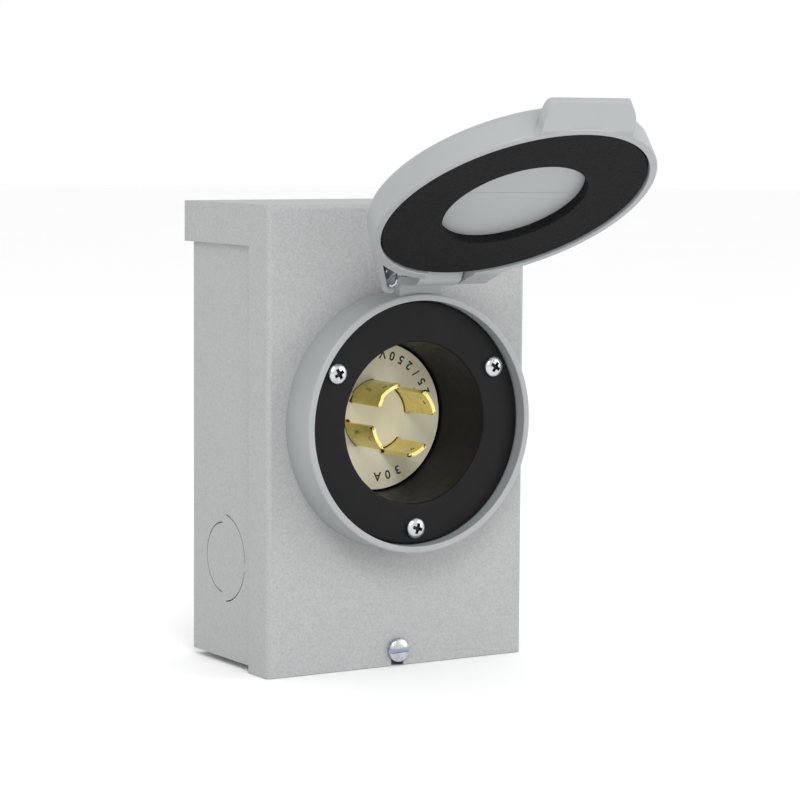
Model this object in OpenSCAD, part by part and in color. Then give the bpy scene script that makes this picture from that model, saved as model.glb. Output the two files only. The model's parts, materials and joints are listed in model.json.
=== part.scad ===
// Weatherproof generator inlet box: a folded steel back box and hooded front cover that carry a
// four-blade locking power inlet in a round collar with a spring-loaded flip lid.
// Frame: origin in the middle of the wall-mounting holes on the wall plane, +X right,
// -Y out of the wall towards the user, +Z up. Millimetres. The lid is drawn open.

/* [Enclosure] */
// Width of the front cover
cover_w = 119; // [112:1:130]
// Height of the front cover
cover_h = 184; // [178:1:200]
// Depth from the cover's face to the back edge of its rain hood
cover_d = 69; // [67:1:80]
// Height of the rain hood's sides
hood_h = 16.3; // [12:0.1:22]
// Depth of the cover's side flanges
flange_d = 15; // [12:0.5:20]
// Thickness of the sheet steel
sheet = 1.3; // [1.1:0.1:1.5]
// Outside radius of the bends
bend_r = 2; // [1.8:0.1:2.5]
// Clearance between the cover and the back box
fit_gap = 0.3; // [0.2:0.1:0.6]

/* [Wall mounting] */
// Distance between the mounting holes across the box
mount_dx = 76; // [70:1:80]
// Distance between the mounting holes up the box
mount_dz = 127; // [120:1:132]
// Diameter of each mounting hole
mount_hole_d = 6.5; // [5.5:0.1:7]
// Height of the feet pressed out of the back panel
foot_h = 3.8; // [3:0.1:4.5]

/* [Knockouts] */
// Diameter of the outer knockout circle
ko_outer_d = 34.9; // [34:0.1:35.5]
// Diameter of the inner knockout circle
ko_inner_d = 28.2; // [27:0.1:29]
// Height of the side knockouts, measured from the middle of the box
ko_z = -49.4; // [-56:0.2:-46]
// Distance from the cover's face back to the side knockouts
ko_back = 38.5; // [37:0.5:42]

/* [Collar and inlet] */
// Height of the inlet's axis above the middle of the box
inlet_z = 6.4; // [0:0.2:10]
// Outside radius of the collar
collar_r = 51; // [50:0.1:52]
// How far the collar's rim stands out of the cover
rim_out = 17.2; // [16:0.1:19]
// Wall thickness of the collar's rim
rim_wall = 2.7; // [2.4:0.1:2.8]
// Depth of the inlet's flange below the rim
flange_sunk = 4.9; // [4.2:0.1:5.2]
// Radius of the cup at its mouth
cup_mouth_r = 31.9; // [31.4:0.1:32.2]
// Radius of the cup where it meets the face
cup_base_r = 30.4; // [30.2:0.1:30.8]
// Depth of the cup from the flange to the face
cup_depth = 29.6; // [28:0.1:31]
// Radius of the circle that the three flange screws lie on
screw_circle_r = 41.6; // [41:0.1:42]

/* [Blades] */
// Outside radius of the four curved blades
blade_r = 15; // [14:0.1:15.5]
// Thickness of a blade
blade_t = 1.7; // [1.5:0.1:1.9]
// Free length of a blade in front of the face
blade_len = 21.3; // [18:0.1:23]

/* [Flip lid] */
// Outside radius of the lid at its skirt
lid_r = 54.8; // [54.6:0.1:55]
// Thickness of the lid
lid_t = 12; // [11:0.1:13]
// Opening angle that the lid is drawn at, from closed
lid_open = 121.5; // [0:0.5:140]
// Height of the hinge axis above the inlet's axis
hinge_rise = 61; // [61:0.1:62]
// Distance of the hinge axis in front of the collar's rim
hinge_out = 7.5; // [7:0.1:8]
// Radius of the hinge barrel
barrel_r = 6.5; // [6.2:0.1:6.8]
// Width of the hinge barrel and its post
barrel_w = 19.4; // [17:0.2:20]
// Hole through the middle of the lid's gasket, as a radius
gasket_hole_r = 27.9; // [25:0.1:30]

/* [Hidden] */
$fn = 96;
eps = 0.01;

// Y of the cover's outer face, with the hood's back edge just clear of the wall
wall_gap = 0.5;
front_y = -(cover_d + wall_gap);
cover_top = cover_h / 2;
cover_bottom = -cover_h / 2;

// Outline of the back box inside the cover
box_w = cover_w - 2 * (sheet + fit_gap);
box_top = cover_top - sheet - fit_gap;
box_bottom = cover_bottom + 2.3;
box_front = front_y + sheet + fit_gap;
box_back = -foot_h;
lip_h = 13;

// Cover screw: a number 10 machine screw in a notch at the bottom of the cover
cover_screw_z = cover_bottom + 6.3;
cover_screw_r = 2.35;
cover_screw_head_r = 4.8;
running_fit = 0.05;
notch_r = 2.9;

// Feet of the back panel
foot_base_r = 12;
foot_face_r = 8;

// Knockout slits
ko_r_out = ko_outer_d / 2;
ko_r_in = ko_inner_d / 2;
slit = 0.5;
bridge_w = 3.4;

// Depths in front of the cover's face, along the inlet's axis
rim_z = rim_out;
flange_face = rim_z - flange_sunk;
flange_t = 3;
flange_gasket_t = 0.8;
collar_floor = flange_face - flange_t - flange_gasket_t;
collar_floor_t = 3;
base_gasket_t = 1.2;
face_z = flange_face - cup_depth;
face_t = 4;
face_r = 29.6;
housing_back = face_z - face_t - 2;
body_back = housing_back - 12;
pad_t = 1.6;
cup_wall = 2;
collar_hole_r = 34.6;
panel_hole_r = 36;
rim_in_r = collar_r - rim_wall;
flange_r = rim_in_r - 0.4;
screw_angles = [30, 150, 270];
screw_hole_r = 2.3;
screw_shank_r = 2.05;

// Hinge and lid
hinge_z = rim_z + hinge_out;
seat_gap = 0.3;
gasket_face = rim_z + seat_gap;
gasket_t = 3.5;
liner_t = 1.6;
skirt_edge = gasket_face - 0.8;
lid_top = skirt_edge + lid_t;
skirt_in_r = collar_r + 0.7;
gasket_r = collar_r + 0.3;
lid_shell_t = 2.6;
slot_gap = 0.8;
slot_w = barrel_w + 2 * slot_gap;

// Right lug: its end, and the radius of its knuckle
lug_end_x = 23.5;
lug_r = 6.2;

// Left lug: direction that its shoulder faces, corner in plan, edge in side view, and wall
wing_angle = 147.7;
wing_edge = lid_r - 0.4;
wing_r = 7;
wing_edge_r = 4;
wing_wall = 2;
wing_y = hinge_rise + wing_edge_r - wing_r;
wing_x = (wing_edge - wing_r - wing_y * sin(wing_angle)) / cos(wing_angle);
wing_z = hinge_z + 2.3;
rib_x = -21;
rib_t = 1.6;

// Pin and spring
pin_r = 1.5;
pin_end_x = 22.5;
spring_wire_r = 0.55;
spring_coil_r = 2.35;
spring_turns = 7;

// Thumb tab
tab_w = 40;
tab_t = 3.4;
tab_flare = 40;
tab_reach = 11.5;
tab_tip_r = 63.6;
tab_corner_r = 7;
tab_root_r = 5;

// Blades: name, start angle, end angle, from the right and anticlockwise seen from the front
ground_arc = [98, 135];
neutral_arc = [186, 228];
line_x_arc = [6, 51];
line_y_arc = [280, 316];
hook_arc = [133, 151];
hook_in = 0.8;
hook_drop = 0.4;
blade_slot_gap = 0.15;
blade_slot_play = 2.5;
terminal_r = 17;
blade_arcs = [ground_arc, neutral_arc, line_x_arc, line_y_arc];

// Hardware behind the face
body_screw_angles = [72, 162, 252, 342];
body_screw_r = 27.6;
clamp_t = 1.2;
clamp_z = body_back - pad_t - 2.4;

// Ground screw on the back panel
ground_x = 36;
ground_z = -30;
ground_r = 2.35;

steel_grey = [0.70, 0.71, 0.71];
plastic_grey = [0.74, 0.76, 0.76];
black = [0.10, 0.10, 0.11];
foam = [0.13, 0.13, 0.13];
cream = [0.88, 0.86, 0.76];
brass = [0.85, 0.70, 0.30];
zinc = [0.80, 0.81, 0.82];

// Middle angle of a blade
function mid(arc) = (arc[0] + arc[1]) / 2;

// Moves into the inlet's frame: X right, Y up and Z out of the cover's face
module at_inlet() {
  translate([0, front_y, inlet_z]) rotate([90, 0, 0]) children();
}

// Moves the closed lid's frame to the opening angle, about the hinge axis
module at_lid() {
  at_inlet()
    translate([0, hinge_rise, hinge_z])
      rotate([-lid_open, 0, 0])
        translate([0, -hinge_rise, -hinge_z]) children();
}

// A tube between two depths
module ring(r_out, r_in, z0, z1) {
  difference() {
    translate([0, 0, z0]) cylinder(r = r_out, h = z1 - z0);
    translate([0, 0, z0 - 1]) cylinder(r = r_in, h = z1 - z0 + 2);
  }
}

// A curved bar on the inlet's axis between two angles and two depths
module arc_bar(r_out, r_in, a0, a1, z0, z1) {
  rotate([0, 0, a0])
    rotate_extrude(angle = a1 - a0)
      translate([r_in, z0]) square([r_out - r_in, z1 - z0]);
}

// A slab with its front at y = 0, rounded there, reaching back to y = d
module folded_outline(w, d, r) {
  translate([-w / 2, r]) square([w, d - r]);
  translate([-w / 2 + r, 0]) square([w - 2 * r, d]);
  for (side = [-1, 1])
    translate([side * (w / 2 - r), r]) circle(r);
}

// The block that the cover is folded round: rounded at its front corners and front top edge
module cover_block(inset, r) {
  w = cover_w - 2 * inset;
  top = cover_top - inset;
  front = front_y + inset;
  back = -wall_gap + inset * 4;
  bottom = cover_bottom - inset * 4;
  intersection() {
    translate([0, front, bottom])
      linear_extrude(top - bottom) folded_outline(w, back - front, r);
    translate([-w / 2, 0, 0])
      rotate([90, 0, 90])
        linear_extrude(w) {
          translate([front, bottom]) square([back - front, top - r - bottom]);
          translate([front + r, bottom]) square([back - front - r, top - bottom]);
          translate([front + r, top - r]) circle(r);
        }
  }
}

module front_cover() {
  color(steel_grey)
    difference() {
      cover_block(0, bend_r);
      cover_block(sheet, bend_r - sheet);
      // Sides cut back to narrow flanges below the hood
      translate([-cover_w, front_y + flange_d, cover_bottom - 1])
        cube([2 * cover_w, cover_d, cover_h - hood_h + 1]);
      at_inlet() {
        translate([0, 0, -5]) cylinder(r = panel_hole_r, h = 10);
        for (a = screw_angles)
          rotate([0, 0, a]) translate([screw_circle_r, 0, -5]) cylinder(r = screw_hole_r, h = 10);
      }
      // Notch that lets the cover lift off its loosened screw
      translate([0, front_y + 5, cover_screw_z]) rotate([90, 0, 0]) cylinder(r = notch_r, h = 10);
      translate([-notch_r, front_y - 5, cover_bottom - 5])
        cube([2 * notch_r, 10, cover_screw_z - cover_bottom + 5]);
    }
}

// Moves to each knockout: Z out of the wall, X towards the front of the box
module at_knockouts() {
  ko_y = front_y + ko_back;
  translate([-box_w / 2, ko_y, ko_z]) rotate([90, 0, -90]) children();
  translate([box_w / 2, ko_y, ko_z]) rotate([-90, 0, -90]) children();
  translate([0, ko_y, box_bottom]) rotate([180, 0, -90]) children();
}

// Half-round slits of a knockout: the inner circle's at the back, the outer one's at the front
module ko_slits() {
  arc_bar(ko_r_in + slit / 2, ko_r_in - slit / 2, 96, 264, -sheet - 1, 1);
  difference() {
    arc_bar(ko_r_out + slit / 2, ko_r_out - slit / 2, -84, 84, -sheet - 1, 1);
    translate([0, -bridge_w, -sheet - 2]) cube([30, bridge_w, sheet + 4]);
  }
}

// Places children at the four mounting holes, Z towards the wall
module at_feet() {
  for (x = [-mount_dx / 2, mount_dx / 2], z = [-mount_dz / 2, mount_dz / 2])
    translate([x, box_back, z]) rotate([-90, 0, 0]) children();
}

module back_box() {
  h = box_top - box_bottom;
  d = box_back - box_front;
  color(steel_grey)
    difference() {
      union() {
        difference() {
          translate([0, box_back, box_bottom])
            mirror([0, 1, 0]) linear_extrude(h) folded_outline(box_w, d, bend_r);
          translate([0, box_back - sheet, box_bottom + sheet])
            mirror([0, 1, 0])
              linear_extrude(h - 2 * sheet)
                folded_outline(box_w - 2 * sheet, d, bend_r - sheet);
        }
        at_feet() cylinder(r1 = foot_base_r, r2 = foot_face_r, h = foot_h);
        // Lip that the cover screw is driven into
        translate([-box_w / 2 + sheet, box_front, box_bottom])
          cube([box_w - 2 * sheet, sheet, lip_h]);
        translate([0, box_front + 4, cover_screw_z]) rotate([90, 0, 0]) cylinder(r = 4, h = 4);
        // Raised thread for the ground screw
        translate([ground_x, box_back, ground_z]) rotate([90, 0, 0]) cylinder(r = 4, h = 3);
      }
      at_feet() {
        translate([0, 0, -sheet - eps])
          cylinder(r1 = foot_base_r - sheet / 2, r2 = foot_face_r - sheet / 2, h = foot_h);
        translate([0, 0, -5]) cylinder(r = mount_hole_d / 2, h = 12);
      }
      translate([0, box_front + 6, cover_screw_z])
        rotate([90, 0, 0]) cylinder(r = cover_screw_r + running_fit, h = 12);
      translate([ground_x, 1, ground_z]) rotate([90, 0, 0]) cylinder(r = ground_r, h = 12);
      at_knockouts() {
        translate([0, 0, -sheet - 1]) cylinder(r = ko_r_out, h = sheet + 2);
        ko_slits();
      }
    }
}

module knockout_rings() {
  color(steel_grey)
    at_knockouts()
      difference() {
        ring(ko_r_out, ko_r_in, -sheet, 0);
        ko_slits();
      }
}

module knockout_slugs() {
  color(steel_grey)
    at_knockouts()
      difference() {
        translate([0, 0, -sheet]) cylinder(r = ko_r_in, h = sheet);
        ko_slits();
      }
}

// Hexagon washer head with a slot
module ground_screw() {
  color([0.15, 0.45, 0.22])
    translate([ground_x, box_back - 3, ground_z])
      rotate([90, 0, 0])
        difference() {
          union() {
            translate([0, 0, -5]) cylinder(r = ground_r, h = 6);
            cylinder(r = 5.2, h = 1);
            cylinder(r = 4.6, h = 4, $fn = 6);
          }
          translate([-6, -0.6, 2.8]) cube([12, 1.2, 3]);
        }
}

// Slotted cover screw, its head just in front of the cover
module cover_screw() {
  head_h = 2.6;
  shank_l = 11;
  color(zinc)
    translate([0, front_y - fit_gap, cover_screw_z])
      rotate([90, 0, 0])
        difference() {
          union() {
            translate([0, 0, -shank_l]) cylinder(r = cover_screw_r, h = shank_l + 1);
            cylinder(r = cover_screw_head_r, h = 1.2);
            translate([0, 0, 1.2])
              cylinder(r1 = cover_screw_head_r, r2 = cover_screw_head_r - 1.6, h = head_h - 1.2);
          }
          rotate([0, 0, 12])
            translate([-6, -0.7, head_h - 1.3]) cube([12, 1.4, 3]);
        }
}

module collar_gasket() {
  color(foam)
    at_inlet()
      difference() {
        ring(rim_in_r - 0.3, panel_hole_r, 0, base_gasket_t);
        for (a = screw_angles)
          rotate([0, 0, a]) translate([screw_circle_r, 0, -1]) cylinder(r = screw_hole_r, h = 4);
      }
}

// Plate and arm that carry the hinge barrel above the collar, with a rib behind the plate
module hinge_post() {
  plate_t = 4;
  plate_z = rim_z - 1.5 - plate_t;
  plate_y = collar_r - 4;
  rib_w = 3;
  translate([-barrel_w / 2, plate_y, plate_z])
    cube([barrel_w, hinge_rise + barrel_r - plate_y, plate_t]);
  translate([-rib_w / 2, plate_y, 3]) cube([rib_w, 12, plate_z - 1]);
  translate([-barrel_w / 2, hinge_rise - barrel_r, plate_z])
    cube([barrel_w, 2 * barrel_r, hinge_z - plate_z]);
  translate([-barrel_w / 2, hinge_rise, hinge_z])
    rotate([0, 90, 0]) cylinder(r = barrel_r, h = barrel_w);
}

module inlet_collar() {
  color(plastic_grey)
    at_inlet()
      difference() {
        union() {
          cylinder(r1 = collar_r + 0.3, r2 = collar_r, h = rim_z - 0.8);
          translate([0, 0, rim_z - 0.8]) cylinder(r1 = collar_r, r2 = collar_r - 0.8, h = 0.8);
          hinge_post();
        }
        // Recess for the flange, and the hollow behind the floor
        translate([0, 0, collar_floor]) cylinder(r = rim_in_r, h = 20);
        difference() {
          translate([0, 0, -1]) cylinder(r = rim_in_r, h = collar_floor - collar_floor_t + 1);
          ring(collar_hole_r + 2.4, collar_hole_r, base_gasket_t, 20);
          for (a = screw_angles)
            rotate([0, 0, a]) translate([screw_circle_r, 0, base_gasket_t]) cylinder(r = 5, h = 20);
        }
        translate([0, 0, -1]) cylinder(r = collar_hole_r, h = 40);
        for (a = screw_angles)
          rotate([0, 0, a]) translate([screw_circle_r, 0, -1]) cylinder(r = screw_hole_r, h = 20);
        translate([-barrel_w, hinge_rise, hinge_z])
          rotate([0, 90, 0]) cylinder(r = pin_r + running_fit, h = 2 * barrel_w);
      }
}

module flange_gasket() {
  color(foam)
    at_inlet()
      difference() {
        ring(flange_r - 0.6, collar_hole_r, collar_floor, collar_floor + flange_gasket_t);
        for (a = screw_angles)
          rotate([0, 0, a])
            translate([screw_circle_r, 0, collar_floor - 1]) cylinder(r = screw_hole_r, h = 4);
      }
}

// Flange, cup and the ledge behind the face, turned in one piece
module inlet_housing() {
  back = face_z - face_t;
  color(black)
    at_inlet()
      difference() {
        rotate_extrude()
          polygon([
            [cup_mouth_r, flange_face], [flange_r - 0.6, flange_face],
            [flange_r, flange_face - 0.6], [flange_r, flange_face - flange_t],
            [cup_mouth_r + cup_wall, flange_face - flange_t],
            [cup_base_r + cup_wall, housing_back], [25.5, housing_back],
            [25.5, back], [cup_base_r, back], [cup_base_r, face_z]
          ]);
        for (a = screw_angles)
          rotate([0, 0, a])
            translate([screw_circle_r, 0, flange_face - 10]) cylinder(r = screw_hole_r, h = 20);
        for (a = body_screw_angles)
          rotate([0, 0, a])
            translate([body_screw_r, 0, housing_back - 1]) cylinder(r = 1.3, h = 2.5);
      }
}

// Slots for the four blades, cut through a piece
module blade_slots(z0, z1) {
  for (arc = blade_arcs)
    arc_bar(blade_r + blade_slot_gap, blade_r - blade_t - blade_slot_gap,
            arc[0] - blade_slot_play, arc[1] + blade_slot_play, z0, z1);
}

module inlet_face() {
  color(cream)
    at_inlet()
      difference() {
        translate([0, 0, face_z - face_t]) cylinder(r = face_r, h = face_t);
        blade_slots(face_z - face_t - 1, face_z + 1);
        hook(blade_slot_gap, blade_slot_play, face_z - face_t - 1, face_z + 1);
      }
}

// Moulded block behind the face, with a barrier between each pair of terminals
module terminal_body() {
  barrier_h = 9;
  core_r = 25.2;
  color([0.86, 0.85, 0.80])
    at_inlet()
      difference() {
        union() {
          translate([0, 0, body_back]) cylinder(r = core_r, h = face_z - face_t - body_back);
          translate([0, 0, body_back]) cylinder(r = 31.5, h = housing_back - body_back);
          for (a = body_screw_angles)
            rotate([0, 0, a])
              translate([0, -1.2, body_back - barrier_h]) cube([24, 2.4, barrier_h + 1]);
          translate([0, 0, body_back - barrier_h]) cylinder(r = 5, h = barrier_h + 1);
        }
        blade_slots(body_back - 1, face_z);
        for (arc = blade_arcs)
          rotate([0, 0, mid(arc)])
            translate([terminal_r, 0, body_back - 1]) cylinder(r = 2.6, h = 7);
        for (a = body_screw_angles)
          rotate([0, 0, a])
            translate([body_screw_r, 0, body_back - 1]) cylinder(r = 1.7, h = 20);
      }
}

// Four small screws that clamp the terminal block to the housing
module body_screws() {
  color(zinc)
    at_inlet()
      for (a = body_screw_angles)
        rotate([0, 0, a])
          translate([body_screw_r, 0, body_back])
            difference() {
              union() {
                cylinder(r = 1.3, h = housing_back - body_back + 1.4);
                translate([0, 0, -1.8]) cylinder(r = 2.8, h = 1.8);
              }
              translate([-2, -0.4, -2.2]) cube([4, 0.8, 1.2]);
              translate([-0.4, -2, -2.2]) cube([0.8, 4, 1.2]);
            }
}

// One blade: the curved contact, and the pad behind the block that its terminal screw enters
module blade(arc) {
  tip = face_z + blade_len;
  a = mid(arc);
  difference() {
    union() {
      arc_bar(blade_r, blade_r - blade_t, arc[0], arc[1], body_back - pad_t, tip);
      rotate([0, 0, a])
        translate([blade_r - blade_t, -5, body_back - pad_t]) cube([9, 10, pad_t]);
    }
    // Detent hole near the tip
    rotate([0, 0, a]) translate([blade_r - 5, 0, tip - 4]) rotate([0, 90, 0]) cylinder(r = 0.9, h = 10);
    rotate([0, 0, a]) translate([terminal_r, 0, body_back - 4]) cylinder(r = 1.95, h = 8);
  }
}

// The ground blade's hook, which keys the plug: set in from the blade and running on past its end
module hook(gap, play, z0, z1) {
  r = blade_r - hook_in;
  arc_bar(r + gap, r - blade_t - gap, hook_arc[0] - play, hook_arc[1] + play, z0, z1);
}

module blade_ground() {
  color(brass)
    at_inlet() {
      blade(ground_arc);
      hook(0, 0, face_z - 3, face_z + blade_len - hook_drop);
    }
}

module blade_neutral() {
  color(brass) at_inlet() blade(neutral_arc);
}

module blade_line_x() {
  color(brass) at_inlet() blade(line_x_arc);
}

module blade_line_y() {
  color(brass) at_inlet() blade(line_y_arc);
}

// Clamp plates behind the pads, which grip the wires
module wire_clamps() {
  color(brass)
    at_inlet()
      for (arc = blade_arcs)
        rotate([0, 0, mid(arc)])
          translate([terminal_r, 0, clamp_z - clamp_t])
            difference() {
              translate([-3.4, -4.4, 0]) cube([8, 8.8, clamp_t]);
              translate([0, 0, -1]) cylinder(r = 2.05, h = 4);
            }
}

module terminal_screw(arc) {
  head_h = 2.4;
  at_inlet()
    rotate([0, 0, mid(arc)])
      translate([terminal_r, 0, clamp_z - clamp_t])
        difference() {
          union() {
            cylinder(r = 1.95, h = 9);
            translate([0, 0, -head_h]) cylinder(r = 3.4, h = head_h);
          }
          translate([-4, -0.5, -head_h - 1]) cube([8, 1, 2.1]);
        }
}

module terminal_screws_line() {
  color(brass) {
    terminal_screw(line_x_arc);
    terminal_screw(line_y_arc);
  }
}

module terminal_screw_neutral() {
  color(zinc) terminal_screw(neutral_arc);
}

module terminal_screw_ground() {
  color([0.15, 0.45, 0.22]) terminal_screw(ground_arc);
}

// Three pan-head screws with cross recesses that hold flange, collar and cover together
module flange_screws() {
  head_r = 4.1;
  head_h = 2.4;
  shank_l = 21;
  color(zinc)
    at_inlet()
      for (a = screw_angles)
        rotate([0, 0, a])
          translate([screw_circle_r, 0, flange_face])
            rotate([0, 0, -a])
              difference() {
                union() {
                  translate([0, 0, -shank_l]) cylinder(r = screw_shank_r, h = shank_l + 1);
                  intersection() {
                    cylinder(r = head_r, h = head_h);
                    translate([0, 0, head_h - 6.4]) sphere(r = 6.4);
                  }
                }
                for (turn = [20, 110])
                  rotate([0, 0, turn]) translate([-2.3, -0.55, 0.8]) cube([4.6, 1.1, 3]);
              }
}

module flange_nuts() {
  nut_h = 3.2;
  color(zinc)
    at_inlet()
      for (a = screw_angles)
        rotate([0, 0, a])
          translate([screw_circle_r, 0, -sheet - nut_h])
            difference() {
              cylinder(r = 5, h = nut_h, $fn = 6);
              translate([0, 0, -1]) cylinder(r = screw_shank_r, h = nut_h + 2);
            }
}

module hinge_pin() {
  color(zinc)
    at_lid()
      translate([-pin_end_x, hinge_rise, hinge_z])
        rotate([0, 90, 0]) cylinder(r = pin_r, h = 2 * pin_end_x);
}

// Torsion spring round the pin, in the hollow of the left lug, as the sleeve that its coil fills
module lid_spring() {
  coil_l = spring_turns * 2 * spring_wire_r;
  color(zinc)
    at_lid()
      translate([-slot_w / 2 - 0.2 - coil_l, hinge_rise, hinge_z])
        rotate([0, 90, 0])
          ring(spring_coil_r + spring_wire_r, spring_coil_r - spring_wire_r, 0, coil_l);
}

// Stands an outline of Y and Z across the lid
module across(w) {
  translate([-w / 2, 0, 0]) rotate([90, 0, 90]) linear_extrude(w) children();
}

// Side view of the right lug: flat sides that run out to the knuckle
module knuckle_side() {
  polygon([[24, skirt_edge], [52, skirt_edge], [hinge_rise, hinge_z - lug_r],
           [hinge_rise, hinge_z + lug_r], [50, lid_top - 0.4], [24, lid_top - 2]]);
  translate([hinge_rise, hinge_z]) circle(lug_r);
}

// Plan of the left lug: a shoulder that leaves the lid's edge and turns in towards the barrel
module wing_plan(inset) {
  reach = wing_r - inset;
  facing = [cos(wing_angle), sin(wing_angle)];
  polygon([[0, 30], (wing_edge - inset) * facing, [wing_x, wing_y] + reach * facing,
           [wing_x, wing_y + reach], [0, wing_y + reach]]);
  translate([wing_x, wing_y]) circle(reach);
}

// Side view of the left lug
module wing_side(inset) {
  reach = wing_edge_r - inset;
  polygon([[24, skirt_edge - inset], [hinge_rise + reach, skirt_edge - inset],
           [hinge_rise + reach, wing_z], [hinge_rise, wing_z + reach],
           [50, lid_top - 0.4 - inset], [24, lid_top - 2 - inset]]);
  translate([hinge_rise, wing_z]) circle(reach);
}

// The left lug is a hollow wing over the spring and the right one a solid knuckle
module hinge_lugs() {
  span = 120;
  difference() {
    union() {
      intersection() {
        linear_extrude(40) wing_plan(0);
        across(span) wing_side(0);
      }
      intersection() {
        translate([0, 30, 0]) cube([lug_end_x, 60, 40]);
        across(span) knuckle_side();
      }
    }
    translate([0, 0, -1]) cylinder(r = lid_r - lid_shell_t, h = 60);
    // Hollow, open towards the collar and the barrel, with a rib that carries the pin
    difference() {
      intersection() {
        linear_extrude(40) wing_plan(wing_wall);
        across(span) wing_side(wing_wall);
      }
      translate([0, 0, -1]) cylinder(r = lid_r + 0.2, h = 60);
      translate([rib_x, 40, hinge_z - 3.2]) cube([rib_t, 40, 20]);
    }
    // Gap in the wall beside the spring
    translate([-19, hinge_rise + wing_edge_r - wing_wall - 0.1, 0]) cube([19, 10, wing_z]);
  }
}

// Plan of the thumb tab, with roots that sweep into the lid's edge
module tab_plan() {
  half = tab_w / 2;
  corner_x = half - tab_corner_r;
  corner_y = -sqrt(pow(tab_tip_r - tab_corner_r, 2) - corner_x * corner_x);
  tip_x = corner_x * tab_tip_r / (tab_tip_r - tab_corner_r);
  root_x = half + tab_root_r;
  root_y = -sqrt(pow(lid_r + tab_root_r - 0.5, 2) - root_x * root_x);
  intersection() {
    circle(tab_tip_r);
    translate([-tip_x, -tab_tip_r]) square([2 * tip_x, 20]);
  }
  translate([-half, corner_y]) square([tab_w, 10]);
  for (side = [-1, 1])
    translate([side * corner_x, corner_y]) circle(tab_corner_r);
  difference() {
    translate([-root_x + 1.5, root_y]) square([2 * root_x - 3, 8]);
    for (side = [-1, 1])
      translate([side * root_x, root_y]) circle(tab_root_r);
  }
}

// Tab that the lid is lifted by: flared away from the collar, its root inside the lid's wall
module thumb_tab() {
  root = 7;
  difference() {
    intersection() {
      linear_extrude(40) tab_plan();
      across(2 * tab_w)
        translate([-lid_r + 0.8, skirt_edge + 0.5])
          rotate(180 - tab_flare)
            translate([-root, -tab_t]) square([root + tab_reach, tab_t]);
    }
    cylinder(r = lid_r - 1.4, h = 60);
    translate([-tab_w, -2 * lid_r, skirt_edge - 20]) cube([2 * tab_w, 2 * lid_r, 20]);
  }
}

module flip_lid() {
  edge_r = 3;
  cavity_top = lid_top - lid_shell_t;
  liner_seat = gasket_face + gasket_t + liner_t;
  color(plastic_grey)
    at_lid()
      difference() {
        union() {
          // Drafted side wall and rounded outer edge
          rotate_extrude() {
            polygon([[0, skirt_edge], [lid_r, skirt_edge], [lid_r - 0.6, lid_top - edge_r],
                     [lid_r - 0.6 - edge_r, lid_top], [0, lid_top]]);
            translate([lid_r - 0.6 - edge_r, lid_top - edge_r]) circle(edge_r);
          }
          hinge_lugs();
          thumb_tab();
        }
        cylinder(r = skirt_in_r, h = liner_seat);
        translate([0, 0, liner_seat - 1]) cylinder(r = skirt_in_r - 2.4, h = cavity_top - liner_seat + 1);
        // Notch that the barrel and its arm stand in
        translate([-slot_w / 2, skirt_in_r - 1.2, 0]) cube([slot_w, 40, liner_seat]);
        translate([-slot_w / 2, skirt_in_r, 0]) cube([slot_w, 40, 60]);
        // Blind bore that holds the pin
        translate([-pin_end_x, hinge_rise, hinge_z])
          rotate([0, 90, 0]) cylinder(r = pin_r, h = 2 * pin_end_x);
      }
}

module lid_liner() {
  color(plastic_grey)
    at_lid()
      translate([0, 0, gasket_face + gasket_t]) cylinder(r = skirt_in_r - 0.2, h = liner_t);
}

module lid_gasket() {
  color(foam)
    at_lid() ring(gasket_r, gasket_hole_r, gasket_face, gasket_face + gasket_t);
}

back_box();
knockout_rings();
knockout_slugs();
ground_screw();
front_cover();
cover_screw();
collar_gasket();
inlet_collar();
flange_gasket();
inlet_housing();
inlet_face();
terminal_body();
body_screws();
blade_ground();
blade_neutral();
blade_line_x();
blade_line_y();
wire_clamps();
terminal_screws_line();
terminal_screw_neutral();
terminal_screw_ground();
flange_screws();
flange_nuts();
hinge_pin();
lid_spring();
flip_lid();
lid_liner();
lid_gasket();
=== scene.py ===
import json
import math

import bmesh
import bpy
from mathutils import Matrix, Vector


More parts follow.
